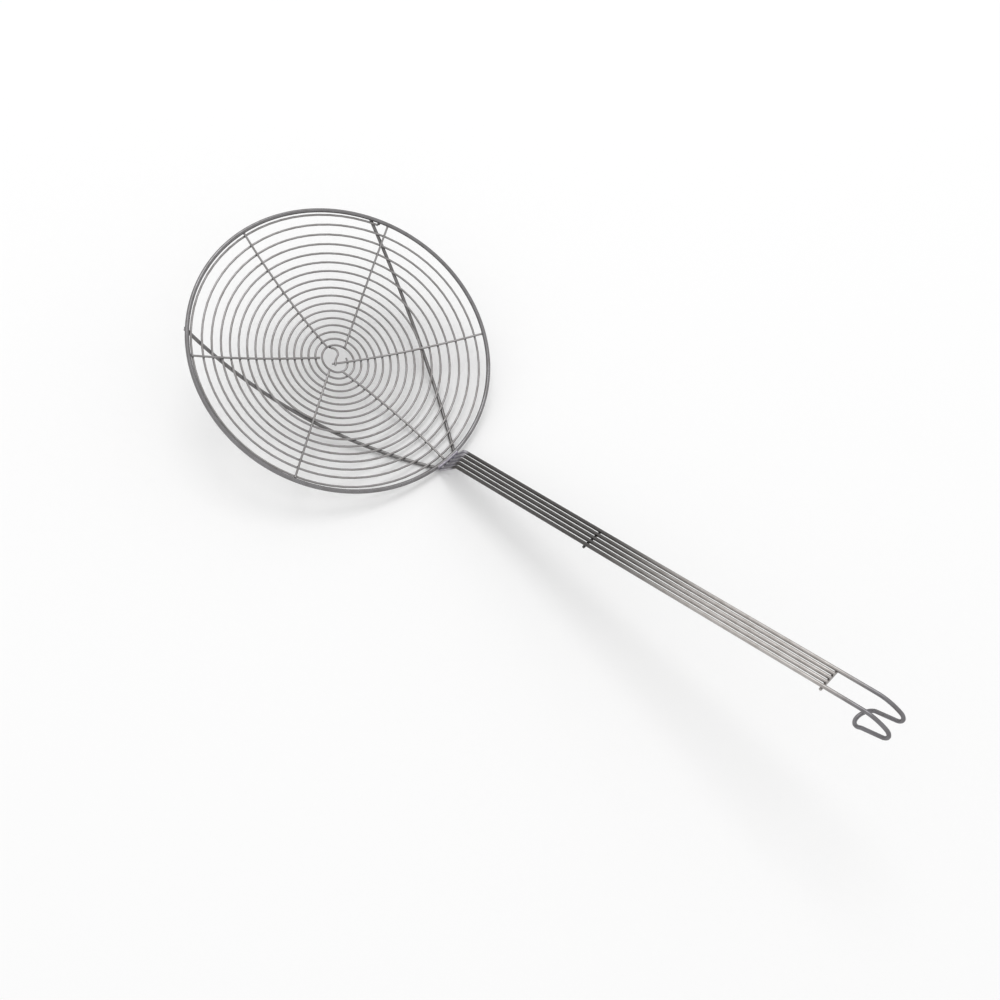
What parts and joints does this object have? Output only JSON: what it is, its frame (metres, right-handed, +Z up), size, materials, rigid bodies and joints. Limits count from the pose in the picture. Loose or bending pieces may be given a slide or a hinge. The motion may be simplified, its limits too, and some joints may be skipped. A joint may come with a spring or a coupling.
{
  "type": "spider skimmer",
  "caption": "Wire strainer: a shallow bowl of spiral-wound wire in a welded hoop with radial spokes, on a long stepped handle of parallel wires that ends in a hanging hook.",
  "frame": {"origin": "on the surface that it lies on, under the middle of its length and width", "axes": "+X from the bowl towards the handle's hook, +Z up as it lies on the underside of its bowl, handle in the air"},
  "size_m": [0.6365, 0.2542, 0.1292],
  "materials": {
    "hoop_wire": "nickel-plated drawn steel wire, semi-bright",
    "basket_wire": "nickel-plated drawn steel wire, semi-bright, darker at the welds",
    "handle_wire": "nickel-plated drawn steel wire, semi-bright"
  },
  "bodies": {
    "root": {"rim_hoop": "hoop_wire", "spiral_wire": "basket_wire", "spoke_1": "basket_wire", "spoke_2": "basket_wire", "spoke_3": "basket_wire", "spoke_4": "basket_wire", "spoke_5": "basket_wire", "spoke_6": "basket_wire", "hub_bar": "basket_wire", "handle_outer_wire": "handle_wire", "handle_inner_wire_1": "handle_wire", "handle_inner_wire_2": "handle_wire", "handle_inner_wire_3": "handle_wire", "tie_middle": "handle_wire", "tie_hook_end": "handle_wire"}
  },
  "joints": []
}
